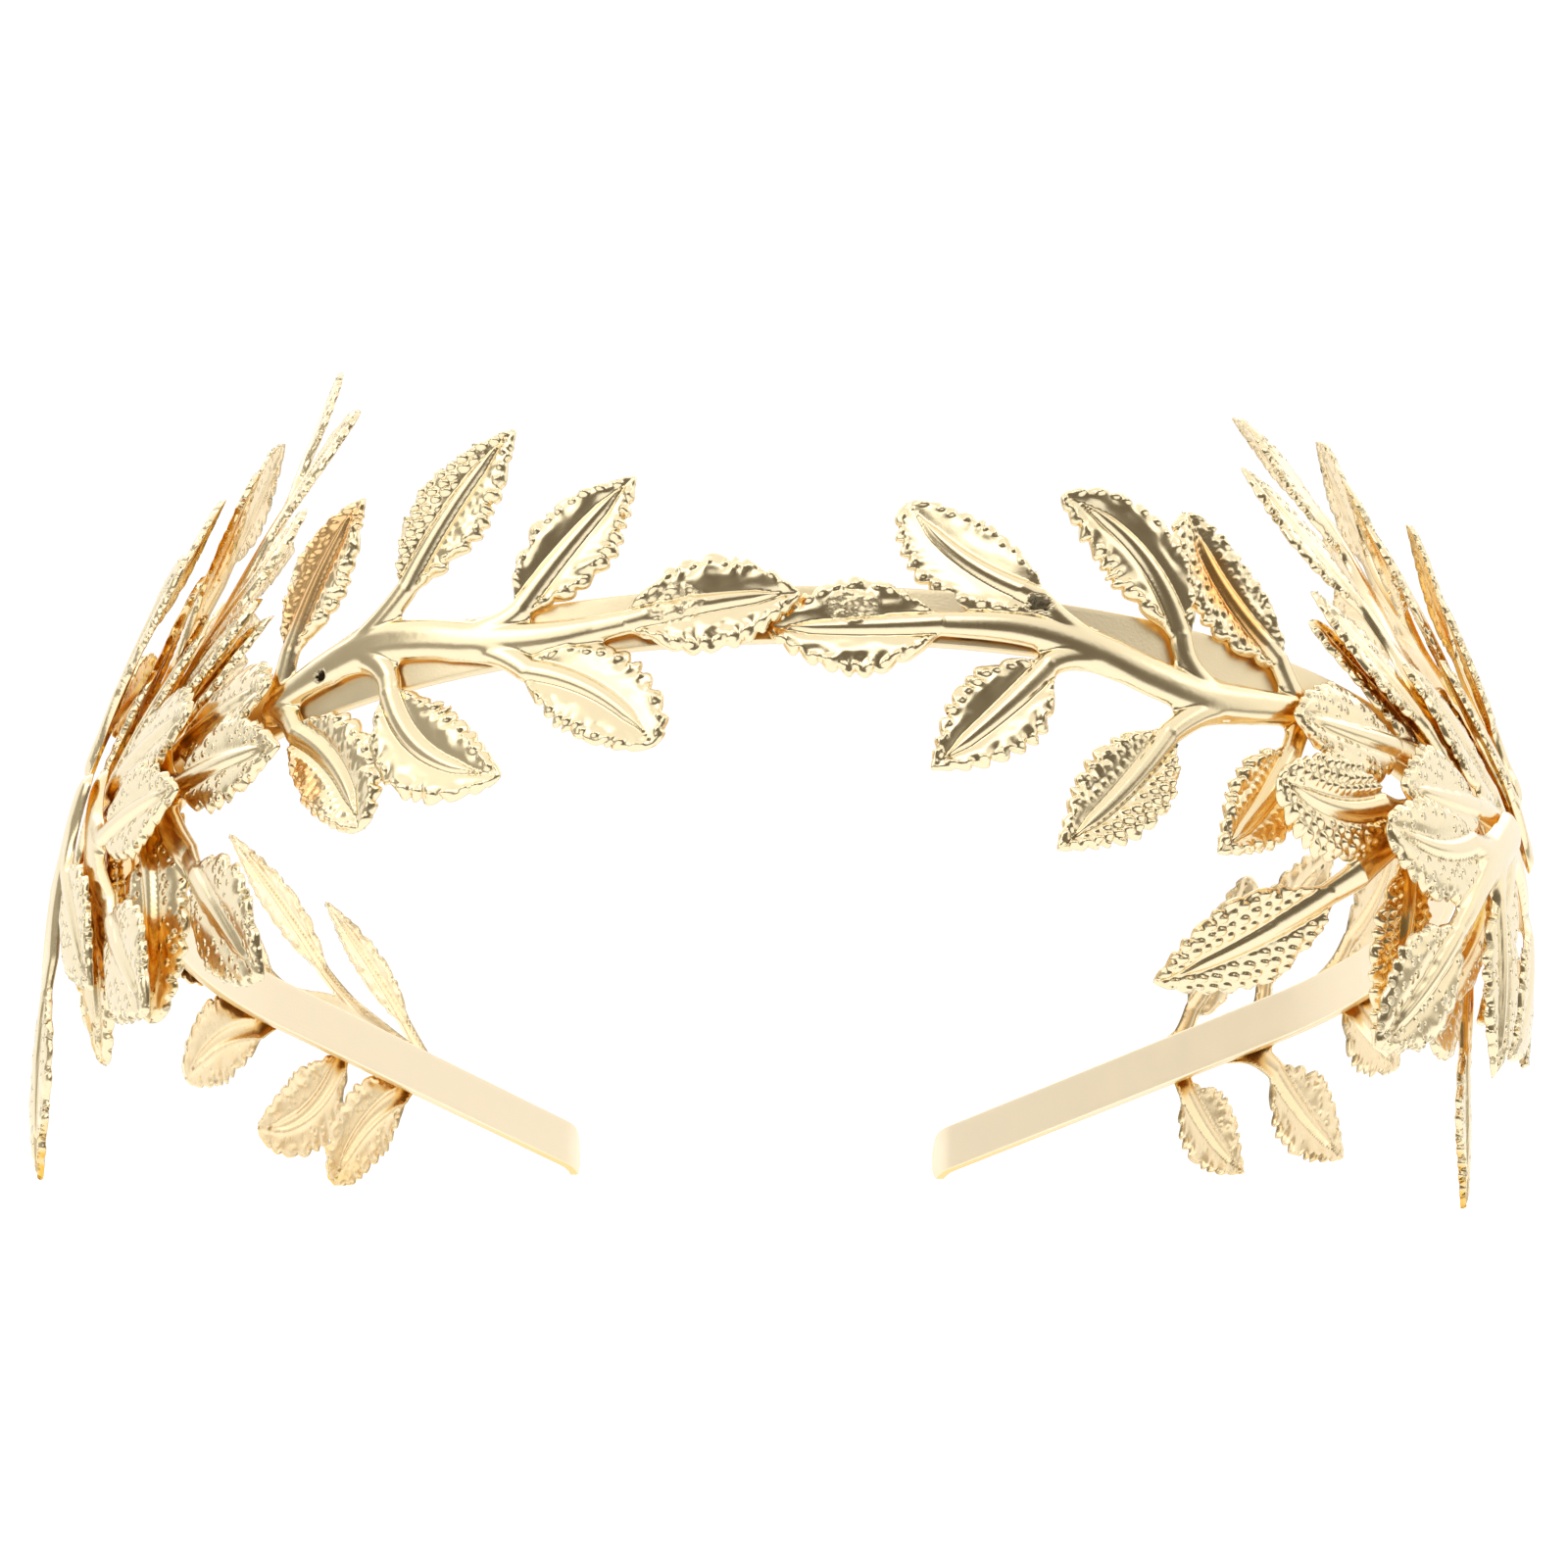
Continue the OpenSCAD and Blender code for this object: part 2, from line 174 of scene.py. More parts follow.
def turn_y(a):
    """Turn by a about y, as a matrix: z goes to z cos a, x sin a."""
    return np.array([[np.cos(a), 0, np.sin(a)], [0, 1, 0], [-np.sin(a), 0, np.cos(a)]])


def turn_z(a):
    """Turn by a about z, as a matrix: x goes to x cos a, y sin a."""
    return np.array([[np.cos(a), -np.sin(a), 0], [np.sin(a), np.cos(a), 0], [0, 0, 1]])


def rest(p):
    """Ring frame to table frame: tilted back and rolled as it settles, then lifted."""
    return p @ turn_x(REST_PITCH).T @ turn_y(REST_ROLL).T + REST_SHIFT


def plan(a):
    """Outer face of the strip at arc length a from the front: two arcs, then a straight."""
    a = np.asarray(a, float)
    h = np.where(a < ARC_1, a / R_FRONT, TURN_FRONT + (np.clip(a, ARC_1, ARC_2) - ARC_1) / R_SIDE)
    x = np.where(a < ARC_1, R_FRONT * np.sin(h), X1 + R_SIDE * (np.sin(h) - np.sin(TURN_FRONT)))
    y = np.where(a < ARC_1, R_FRONT * (1 - np.cos(h)), Y1 + R_SIDE * (np.cos(TURN_FRONT) - np.cos(h)))
    more = np.maximum(a - ARC_2, 0)
    return x + more * np.cos(h), y + more * np.sin(h), h


def spot(place, u, v, n, rise):
    """Die point (u along the stem, v across, n off its back) laid on the headband.

    It is turned to the stem's heading and rolled round the strip. Its lean goes from the
    upper to the lower one between 4 mm above and 4 mm below the strip's middle, then curls
    on, and its place is the mean lean from the middle out to it, times its height. It
    stands off by its layer plus the rise of its own leaf."""
    up, down, curl = place.lean_up, place.lean_down, place.curl
    th = np.radians(place.heading)
    a = (u - place.cut) * np.cos(th) - v * np.sin(th)
    w = place.up + (u - place.cut) * np.sin(th) + v * np.cos(th)
    lam = up + (down - up) * np.clip((4 - w) / 8, 0, 1) + curl * np.minimum(w + 4, 0)
    total = np.where(w > 4, up * w + down - up,
                     np.where(w > -4, up * w + (down - up) * (4 * w - w * w / 2) / 8,
                              -up - 3 * down + down * (w + 4) + curl * (w + 4) ** 2 / 2))
    near = np.abs(w) < 1e-3
    mean = np.radians(np.where(near, (up + down) / 2, total / np.where(near, 1, w)))
    lam = np.radians(lam)
    base = SEAT + LAYER * place.layer
    nn = base + rise + n
    h, o = w * np.cos(mean), w * np.sin(mean)
    st = place.along + a / (1 + (base + o) / MEAN_R)
    x, y, t = plan(np.abs(st))
    out = o + nn * np.cos(lam)
    return rest(np.stack([np.where(st < 0, -1, 1) * (x + out * np.sin(t)),
                          y - Y_MID - out * np.cos(t), h - nn * np.sin(lam)], -1))


def hashed(a, b):
    """Repeatable 0..1 value for whole numbers a, b: fraction of a large sine."""
    f = np.sin(a * 12.9898 + b * 78.233) * 43758.5453
    return f - np.floor(f)


def noise(x, y):
    """Smooth value noise: hashed corners of a unit grid mixed by a cubic step."""
    i, j = np.floor(x), np.floor(y)
    fx, fy = x - i, y - j
    fx, fy = fx * fx * (3 - 2 * fx), fy * fy * (3 - 2 * fy)
    low = hashed(i, j) * (1 - fx) + hashed(i + 1, j) * fx
    high = hashed(i, j + 1) * (1 - fx) + hashed(i + 1, j + 1) * fx
    return low * (1 - fy) + high * fy


def step(lo, hi, x):
    """0 at lo, 1 at hi, smooth between and flat beyond; lo may be the larger one."""
    t = np.clip((x - lo) / (hi - lo), 0, 1)
    return t * t * (3 - 2 * t)


def smooth_max(a, b, k):
    """Larger of two fields, with a fillet of size k where they cross."""
    h = np.clip(1 - np.abs(a - b) / k, 0, 1)
    return np.maximum(a, b) + h * h * k / 4


def arch(g, half, power=2.3):
    """Rounded ridge: height 0..1 at distance g inside a ridge of that half breadth."""
    return (1 - (1 - np.clip(g / half, 0, 1)) ** power) ** 0.62


def lobe(phase):
    """Round pillows with sharp grooves between them, one per unit of phase."""
    return np.abs(np.sin(np.pi * phase)) ** 0.9


def beads(s, x, pitch, radius, seed):
    """Rows of punched pips: one round dome per cell of a staggered, slightly loose grid."""
    best = np.zeros_like(s)
    row = np.floor(x / pitch)
    for dr in (-1, 0, 1):
        r = row + dr
        off = 0.5 * (r % 2)
        col = np.floor(s / pitch - off)
        for dc in (-1, 0, 1):
            c = col + dc
            cs = (c + off + 0.5 + 0.25 * (hashed(c + seed, r) - 0.5)) * pitch
            cx = (r + 0.5 + 0.25 * (hashed(r + seed, c + 7) - 0.5)) * pitch
            rad = radius * (0.75 + 0.4 * hashed(c + 3, r + seed))
            d2 = ((s - cs) ** 2 + (x - cx) ** 2) / rad ** 2
            best = np.maximum(best, np.sqrt(np.clip(1 - d2, 0, 1)))
    return best


def rim_dots(s, inward, seed):
    """One row of small round dots a millimetre inside the rim: domes at loosely even steps."""
    pitch = 1.3
    c = np.floor(s / pitch)
    along = s - (c + 0.5 + 0.3 * (hashed(c, seed) - 0.5)) * pitch
    across = inward - 0.95 - 0.3 * (hashed(c, seed + 5) - 0.5)
    radius = 0.3 + 0.12 * hashed(c, seed + 9)
    return np.sqrt(np.clip(1 - (along ** 2 + across ** 2) / radius ** 2, 0, 1))


def beside(p, b, c, e):
    """Place on the quadratic curve b, c, e nearest to p: its parameter, the offset to the
    left of it, and how far p lies past the curve's ends. Four Newton steps from the chord."""
    b, c, e = (np.asarray(q, float) for q in (b, c, e))
    t = np.clip((p - b) @ (e - b) / ((e - b) @ (e - b)), 0, 1)
    bend = 2 * (b - 2 * c + e)
    for _ in range(4):
        r = t[..., None]
        m = (1 - r) ** 2 * b + 2 * r * (1 - r) * c + r * r * e - p
        k = 2 * (1 - r) * (c - b) + 2 * r * (e - c)
        t = np.clip(t - (m * k).sum(-1) / np.maximum((k * k).sum(-1) + m @ bend, 4), 0, 1)
    r = t[..., None]
    d = p - ((1 - r) ** 2 * b + 2 * r * (1 - r) * c + r * r * e)
    k = 2 * (1 - r) * (c - b) + 2 * r * (e - c)
    k = k / np.linalg.norm(k, axis=-1, keepdims=True)
    return t, d[..., 1] * k[..., 0] - d[..., 0] * k[..., 1], np.abs((d * k).sum(-1))


def smooth_path(points, count):
    """Curve through a few points: cubic Hermite with mean slopes, evenly stepped."""
    p = np.asarray(points, float)
    m = np.gradient(p, axis=0)
    t = np.linspace(0, len(p) - 1, count)
    i = np.minimum(t.astype(int), len(p) - 2)
    f = (t - i)[:, None]
    return ((2 * f ** 3 - 3 * f ** 2 + 1) * p[i] + (f ** 3 - 2 * f ** 2 + f) * m[i]
            + (-2 * f ** 3 + 3 * f ** 2) * p[i + 1] + (f ** 3 - f ** 2) * m[i + 1])


def stem_line():
    """Stem's middle as a fine table: place along it, height of the middle, slope."""
    p = smooth_path(STEM, 200)
    return p[:, 0], p[:, 1], np.gradient(p[:, 1], p[:, 0])


STEM_LINE = stem_line()


def leaves_kept(cut):
    """Leaves whose stalk still leaves the stem beyond the cut root."""
    return [k for k in LEAVES if not cut or LEAVES[k].joint[0] > cut]


def bow_point(leaf):
    """Middle point of the midrib's curve, pushed sideways by its bow."""
    b, e, bow = np.array(LEAVES[leaf].base), np.array(LEAVES[leaf].tip), LEAVES[leaf].bow
    d = e - b
    return (b + e) / 2 + 2 * bow * np.array([-d[1], d[0]]) / np.hypot(*d)


def half_breadth(leaf, t):
    """Plain half breadth of a blade at t along it: a power of a sine of a power of t."""
    p, q = BREADTH_POWERS[LEAVES[leaf].side]
    q = BLUNT_POWER if leaf in BLUNT else q
    return LEAVES[leaf].breadth / 2 * np.clip(np.sin(np.pi * np.clip(t, 0, 1) ** p), 0, 1) ** q


def rib_half(t):
    """Half breadth of the midrib, which narrows and fades out before the blade's tip."""
    return 1.12 * (1 - t) ** 0.45 * step(0.93, 0.72, t) + 0.02


def folds(s, x, seed):
    """Phase of the scalloped folds that run back from the teeth, loosely spaced."""
    return (s - 0.45 * np.abs(x)) / TOOTH + 0.45 * (x > 0) + 0.9 * noise(s * 0.5 + seed, 3.0 * (x > 0))


def stem_inside(p, cut):
    """Distance inside the stem's edge, and its half breadth there."""
    at, mid, slope = STEM_LINE
    half = np.interp(p[..., 0], STEM_HALF[:, 0], STEM_HALF[:, 1])
    off = (p[..., 1] - np.interp(p[..., 0], at, mid)) / np.hypot(1, np.interp(p[..., 0], at, slope))
    past = np.maximum(cut + 1.2 - p[..., 0], 0) + np.maximum(p[..., 0] - STEM_END, 0)
    return half - np.hypot(off, past), half


def stalk_inside(p, leaf, cut):
    """Distance inside a stalk's edge, its half breadth, and the place along it: the stalk
    leaves along the stem and swings to its blade."""
    j, b = np.array(LEAVES[leaf].joint), np.array(LEAVES[leaf].base)
    root = max(j[0] - 4.5, cut + 0.4)
    start = np.array([root, np.interp(root, *STEM_LINE[:2])])
    t, x, over = beside(p, start, j + 0.15 * (b - j), b)
    half = 1.4 - 0.18 * t
    return half - np.hypot(x, over), half, t


def blade_inside(p, leaf, seed):
    """Distance inside a blade's toothed edge, then lengths along and across it and its full
    half breadth. The teeth are bites between the folds, of uneven depth."""
    b, e = np.array(LEAVES[leaf].base), np.array(LEAVES[leaf].tip)
    t, x, over = beside(p, b, bow_point(leaf), e)
    s = t * np.linalg.norm(e - b)
    plain = half_breadth(leaf, t)
    wave = 0.1 * (noise(s * 0.7 + seed, 3.0 * (x > 0)) - 0.5)
    gap = 1 - lobe(folds(s, plain * np.where(x > 0, 1, -1), seed))
    bite = gap * step(0, 0.12, t) * step(1.0, 0.93, t)
    bite = bite * (0.45 + 0.5 * hashed(np.floor(s / 3.9), seed + (x > 0)))
    full = plain * (1.06 + wave)
    return full - bite * np.minimum(plain / 3, 1) - np.hypot(x, over), s, t, x, np.maximum(full, 0.1)


def outline(p, cut, seed):
    """Distance inside the stamping's outline (stem, stalks and blades joined by fillets),
    and the number of the blade or stalk each point belongs to, 0 for the stem."""
    inside = stem_inside(p, cut)[0]
    owner, best = np.zeros(inside.shape, int), inside.copy()
    for k, leaf in enumerate(LEAVES, 1):
        if leaf not in leaves_kept(cut):
            continue
        if LEAVES[leaf].side:
            stalk = stalk_inside(p, leaf, cut)[0]
            inside = smooth_max(inside, stalk, 1.3)
            owner, best = np.where(stalk > best, k, owner), np.maximum(best, stalk)
        blade = blade_inside(p, leaf, seed + k)[0]
        inside = smooth_max(inside, blade, 0.9)
        owner, best = np.where(blade > best, k, owner), np.maximum(best, blade)
    return inside, owner


def blade_relief(s, t, x, hw, seed, pips, depth):
    """Pressed height of a blade beside its midrib: a valley, a smooth slope up to a crest,
    a knob on the crest for each fold, scallops out to the teeth and a low crumple all over.
    Also the strength of its pips, their domes, and the row of dots inside its rim."""
    rw = rib_half(t)
    away = np.clip((np.abs(x) - rw) / np.maximum(hw - rw, 0.2), 0, 1)
    taper = np.minimum(hw / 2.5, 1)
    slope = 0.34 * np.sin(np.pi * away ** 0.85) + 0.10 * away
    phase = folds(s, x, seed)
    crest = (0.68 + 0.12 * (hashed(seed, 2.0 + (x > 0)) - 0.5)
             + 0.1 * (noise(s * 0.4, 7.0 + 2 * (x > 0)) - 0.5))
    uneven = 0.6 + 0.8 * hashed(np.floor(phase), seed + (x > 0))
    knob = (0.5 - 0.5 * np.cos(2 * np.pi * phase)) * uneven
    scallop = 0.05 * (lobe(phase) - 0.6) * step(0.72, 1, away)
    fold = 0.24 * knob * np.exp(-((away - crest) / 0.15) ** 2) + scallop
    crumple = (noise(s * 0.75 + seed, x * 0.8 + 9.0 * (x > 0)) - 0.5) * 0.34 * step(0.05, 0.5, away)
    strong = np.where(x > 0, pips[0], pips[1])
    room = np.where(strong > STRONG_PIPS, 0.4, 1)
    dots = strong * step(0.04, 0.2, away) * step(0.995, 0.93, away)
    domes = beads(s + 3 * seed, x + 0.45 * s * (x > 0), PIP_PITCH, PIP_R, seed)
    rim = rim_dots(s, hw - np.abs(x), seed + 3 * (x > 0))
    rim = rim * step(0.03, 0.1, t) * (strong <= STRONG_PIPS)
    return BLADE_H + depth * taper * (slope + (fold + crumple) * room), dots, domes, 0.24 * rim


def heights(p, name, cut, seed):
    """Front height of the sheet at die points, the leaf that each belongs to, and the marks
    of its finish: dull (1 on a weld scar, over 1 in a pit painted dark), pips (their strength,
    where the grid is too coarse to carry them) and the strength of an amber painted reflection."""
    pips, weld, pit = PIPS.get(name, PIPS["side"]), WELDS.get(name), PITS.get(name)
    fine = name in FINE
    u, v = p[..., 0], p[..., 1]
    inside, owner = outline(p, cut, seed)
    blade = np.full(inside.shape, BLADE_H)
    dots, dull, painted_amber_reflection = np.zeros(inside.shape), np.zeros(inside.shape), np.zeros(inside.shape)
    g, half = stem_inside(p, cut)
    ridge = FOOT_H + 0.9 * arch(g, half) * (1 - 0.32 * step(32, STEM_END, u))
    for k, leaf in enumerate(LEAVES, 1):
        if leaf not in leaves_kept(cut):
            continue
        if LEAVES[leaf].side:
            g, half, t = stalk_inside(p, leaf, cut)
            stalk = np.where(g > 0, FOOT_H + (0.72 + 0.1 * t) * arch(g, half), -1)
            ridge = smooth_max(ridge, stalk, 0.16)
        f, s, t, x, hw = blade_inside(p, leaf, seed + k)
        mine = f > -0.6
        rw = rib_half(t)
        rib = BLADE_H + (0.66 - 0.28 * t) * arch(rw - np.abs(x), rw, 2.0)
        rib = np.where((f > -0.3) & (t > 0), rib, -1)
        ridge = np.where(mine, smooth_max(ridge, rib, 0.1), ridge)
        depth = SHALLOW.get((name, leaf), SHALLOW.get(name, 1.0))
        relief, strength, domes, rim = blade_relief(
            s[mine], t[mine], x[mine], hw[mine], seed + k, pips.get(leaf, pips["all"]), depth)
        blade[mine] = np.maximum(blade[mine], relief + (strength * domes + rim if fine else 0))
        dots[mine] = np.maximum(dots[mine], 0 if fine else strength)
        # painted reflection: amber painted on the listed blades
        if (name, leaf) in PAINTED_AMBER_REFLECTION:
            s0, x0, rs, rx, amount = PAINTED_AMBER_REFLECTION[name, leaf]
            reach = np.hypot((s - s0) / rs, (x - x0) / rx) * (0.75 + 0.5 * noise(s * 0.6, x * 0.9 + 4))
            painted_amber_reflection = np.maximum(painted_amber_reflection, amount * step(1.1, 0.5, reach) * (f > 0))
        if leaf == "end" and weld:
            patch = step(1.15, 0.8, np.hypot((s - weld[0]) / 1.5, x - weld[1]) / weld[2]) * (f > 0)
            dull = np.maximum(dull, patch)
    top = smooth_max(blade, ridge, 0.14)
    top = top + dull * 0.34 * (noise(u * 2.2, v * 2.2) + 0.4 * noise(u * 4.1, v * 4.3) - 0.7)
    if pit:
        reach = np.hypot((u - pit[0]) / 1.5, v - pit[1]) / pit[2]
        reach = reach * (0.6 + 0.8 * noise(2.7 * u, 2.7 * v + 5))
        top = top - 0.6 * step(1.0, 0.4, reach)
        dull = np.maximum(dull, (1 + pit[3]) * step(1.0, 0.8, reach))
    edge = np.clip(inside / ROLL, 0, 1)
    top = EDGE_H + (top - EDGE_H) * np.sqrt(np.clip(1 - (1 - edge) ** 2, 0, 1))
    return top, owner, {"dull": dull, "pips": dots * (ridge < blade + 0.02), "painted_amber_reflection": painted_amber_reflection}


def cells_inside(p, cell, cut, seed):
    """Grid cells whose middle is inside the outline, with no two that meet by a corner alone."""
    keep = outline(p[:-1, :-1] + cell / 2, cut, seed)[0] > 0
    for _ in range(3):
        a, b, c, d = (q.copy() for q in (keep[:-1, :-1], keep[1:, :-1], keep[:-1, 1:], keep[1:, 1:]))
        keep[1:, :-1] |= a & d & ~b & ~c
        keep[:-1, :-1] |= b & c & ~a & ~d
    return keep


def fit_rim(p, keep, cell, cut, seed):
    """Moves the grid's rim onto the outline by Newton steps, never further than most of a
    cell, and eases the points beside it to the mean of their neighbours. Returns which
    grid points are in use."""
    pad = np.pad(keep, 1).astype(int)
    around = pad[:-1, :-1] + pad[1:, :-1] + pad[:-1, 1:] + pad[1:, 1:]
    used, rim = around > 0, (around > 0) & (around < 4)
    small = 0.02
    q = p[rim]
    for _ in range(3):
        f = outline(q, cut, seed)[0]
        gx = (outline(q + [small, 0], cut, seed)[0] - f) / small
        gy = (outline(q + [0, small], cut, seed)[0] - f) / small
        q = q - np.stack([gx, gy], -1) * (f / np.maximum(gx * gx + gy * gy, 0.2))[:, None]
    p[rim] = p[rim] + np.clip(q - p[rim], -0.8 * cell, 0.8 * cell)
    near = used & ~rim
    for _ in range(2):
        mean = (np.roll(p, 1, 0) + np.roll(p, -1, 0) + np.roll(p, 1, 1) + np.roll(p, -1, 1)) / 4
        p[near] = mean[near]
    return used


def leaf_rise(p, owner, name, place):
    """How far each die point stands off its layer: the tangent of its leaves' lift times the
    distance past the stem or neck, and the same for a blade bent 2 mm past its base."""
    up, down, end = np.tan(np.radians([place.lift_up, place.lift_down, place.lift_end]))
    over = np.where(p[:, 1] > 0, up * np.maximum(p[:, 1] - 2, 0), down * np.maximum(-p[:, 1] - 2, 0))
    tip = (owner == 1) | ((owner == 0) & (p[:, 0] > NECK))
    rise = np.where(tip, end * np.maximum(p[:, 0] - NECK, 0), over)
    for k, leaf in enumerate(LEAVES, 1):
        b, e = np.array(LEAVES[leaf].base), np.array(LEAVES[leaf].tip)
        along = (p - b) @ (e - b) / np.linalg.norm(e - b) - 2.0
        bend = np.tan(np.radians(BENT.get((name, leaf), 0)))
        rise = rise + np.where(owner == k, bend * np.maximum(along, 0), 0)
    return rise


# A closed sheet: points, quads, triangles, lengths along its surface for the UV map, and its
# marks, one value a point (hollow is 1 on the back)
Sheet = namedtuple("Sheet", "points quads tris flat marks")


def stamping(name, place):
    """One stamping as a single closed sheet: a grid cut to the outline, its rim drawn onto
    the outline, the front raised by the relief and the back following it one sheet below."""
    cut = place.cut
    cell = CELL_FINE if name in FINE else CELL
    seed = 1 + 9 * (list(SPRIGS).index(name) % 4)
    u, v = np.arange(cut - 1.0, 59.5, cell), np.arange(-20.5, 23.5, cell)
    p = np.stack(np.meshgrid(u, v, indexing="ij"), -1)
    keep = cells_inside(p, cell, cut, seed)
    used = fit_rim(p, keep, cell, cut, seed)
    p = p[used]
    n = len(p)
    number = np.full(used.shape, -1)
    number[used] = np.arange(n)
    i, j = np.nonzero(keep)
    front = np.stack([number[i, j], number[i + 1, j], number[i + 1, j + 1], number[i, j + 1]], -1)
    walls = []
    for di, dj, ia, ja, ib, jb in SIDES:
        bare = ~np.pad(keep, 1)[i + 1 + di, j + 1 + dj]
        a, b = number[i[bare] + ia, j[bare] + ja], number[i[bare] + ib, j[bare] + jb]
        walls.append(np.stack([b, a, a + n, b + n], -1))
    top, owner, marks = heights(p, name, cut, seed)
    rise = leaf_rise(p, owner, name, place)
    below = np.clip(top - SHEET, 0.02, 0.75)
    points = np.concatenate([spot(place, p[:, 0], p[:, 1], side, rise) for side in (top, below)])
    quads = np.concatenate([front, front[:, ::-1] + n] + walls)
    marks = {"hollow": np.repeat([0.0, 1.0], n), **{key: np.tile(a, 2) for key, a in marks.items()}}
    return Sheet(points, quads, np.zeros((0, 3), int), np.concatenate([p, p]), marks)


def tube(ring, hollow, flat):
    """Quads round and along a stack of closed rings, with a fan over each end."""
    n, k = ring.shape[:2]
    i, j = np.meshgrid(np.arange(n - 1), np.arange(k), indexing="ij")
    a, b = i * k + j, i * k + (j + 1) % k
    quads = np.stack([a, a + k, b + k, b], -1).reshape(-1, 4)
    points = np.concatenate([ring.reshape(-1, 3), ring[0].mean(0)[None], ring[-1].mean(0)[None]])
    j = np.arange(k)
    first = np.stack([np.full(k, n * k), j, (j + 1) % k], -1)
    last = np.stack([np.full(k, n * k + 1), (n - 1) * k + (j + 1) % k, (n - 1) * k + j], -1)
    flat = np.concatenate([flat.reshape(-1, 2), flat[:1, 0], flat[-1:, 0]])
    marks = {"hollow": np.concatenate([hollow.reshape(-1), [0.5, 0.5]])}
    marks.update({key: np.zeros(len(points)) for key in ("dull", "pips", "painted_amber_reflection")})
    return Sheet(points, quads, np.concatenate([first, last]), flat, marks)


def band_sheet():
    """Strip: a rectangle with rounded edges carried round the plan, kicked outwards at its
    ends, where its half breadth runs out along a circle."""
    total = ARC_2 + ARM
    s = np.concatenate([np.linspace(0, ARC_2, 130), np.linspace(ARC_2, total, 30)[1:]])
    x, y, h = plan(s)
    k = np.linspace(0, KICK_TURN, 14)[1:]
    cx, cy = X3 + KICK_R * np.sin(TURN_ALL), Y3 - KICK_R * np.cos(TURN_ALL)
    hk = TURN_ALL - k
    x = np.concatenate([x, cx - KICK_R * np.sin(hk)])
    y = np.concatenate([y, cy + KICK_R * np.cos(hk)])
    h = np.concatenate([h, hk])
    e = np.sin(np.linspace(0, np.pi / 2, 16))[1:] * BAND_HALF * 0.999
    x = np.concatenate([x, x[-1] + e * np.cos(h[-1])])
    y = np.concatenate([y, y[-1] + e * np.sin(h[-1])])
    half = np.concatenate([np.full(len(h), BAND_HALF), np.sqrt(BAND_HALF ** 2 - e ** 2)])
    h = np.concatenate([h, np.full(len(e), h[-1])])
    run = np.concatenate([[0], np.cumsum(np.hypot(np.diff(x), np.diff(y)))])
    # the other side is the mirror image, joined at the front
    x = np.concatenate([-x[:0:-1], x])
    y = np.concatenate([y[:0:-1], y]) - Y_MID
    nx = np.concatenate([-np.sin(h[:0:-1]), np.sin(h)])
    ny = np.concatenate([-np.cos(h[:0:-1]), -np.cos(h)])
    half = np.concatenate([half[:0:-1], half])
    run = np.concatenate([-run[:0:-1], run])
    # section: outer face going up, rounded edge, inner face going down, rounded edge
    rows = 13
    face = np.linspace(-1, 1, rows)
    corner = np.radians(np.array([15, 45, 75]))
    edge, rise, fall = EDGE_R / BAND_HALF, 1 - np.sin(corner), 1 - np.cos(corner)
    across = np.concatenate([face * (1 - edge), 1 - edge * rise, 1 - edge * fall,
                             -face * (1 - edge), -1 + edge * rise, -1 + edge * fall])
    off = np.concatenate([np.zeros(rows), -EDGE_R * fall, -BAND_T + EDGE_R * rise,
                          np.full(rows, -BAND_T), -BAND_T + EDGE_R * fall, -EDGE_R * rise])
    ring = np.stack([x[:, None] + nx[:, None] * off, y[:, None] + ny[:, None] * off,
                     half[:, None] * across], -1)
    hollow = np.broadcast_to((off < -BAND_T * 0.9)[None], ring.shape[:2]).astype(float)
    girth = np.broadcast_to(across * BAND_HALF + 8 * (off < -0.5), ring.shape[:2])
    flat = np.stack([np.broadcast_to(run[:, None], ring.shape[:2]), girth], -1)
    return tube(rest(ring), hollow, flat)


def make_mesh(name, sheet, material):
    """One object from a closed sheet: its points and UV map times their units in metres."""
    points, flat = sheet.points * MM, sheet.flat * MM
    me = bpy.data.meshes.new(name)
    me.from_pydata(points, [], sheet.quads.tolist() + sheet.tris.tolist())
    me.shade_smooth()
    for key, values in sheet.marks.items():
        me.attributes.new(key, "FLOAT", "POINT").data.foreach_set("value", values.astype(np.float32))
    uv = me.uv_layers.new(name="flat")
    loops = np.zeros(len(me.loops), np.int32)
    me.loops.foreach_get("vertex_index", loops)
    uv.data.foreach_set("uv", (flat[loops] * UV_PER_M).astype(np.float32).ravel())
    me.materials.append(material)
    me.validate()
    me.update()
    ob = bpy.data.objects.new(name, me)
    bpy.context.scene.collection.objects.link(ob)
    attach(ob, "root")
    return ob


def colour(hexes):
    """sRGB hex to linear RGBA."""
    v = np.array([int(hexes[i:i + 2], 16) for i in (1, 3, 5)]) / 255
    v = np.where(v <= 0.04045, v / 12.92, ((v + 0.055) / 1.055) ** 2.4)
    return (*v.tolist(), 1.0)


def add(tree, kind, settings=None, links=None):
    """Adds a node, sets its sockets (by name or number) and properties, and links its inputs."""
    node = tree.nodes.new(kind)
    for key, value in (settings or {}).items():
        if isinstance(key, int) or key in node.inputs:
            node.inputs[key].default_value = value
        else:
            setattr(node, key, value)
    for key, source in (links or {}).items():
        tree.links.new(source, node.inputs[key])
    return node


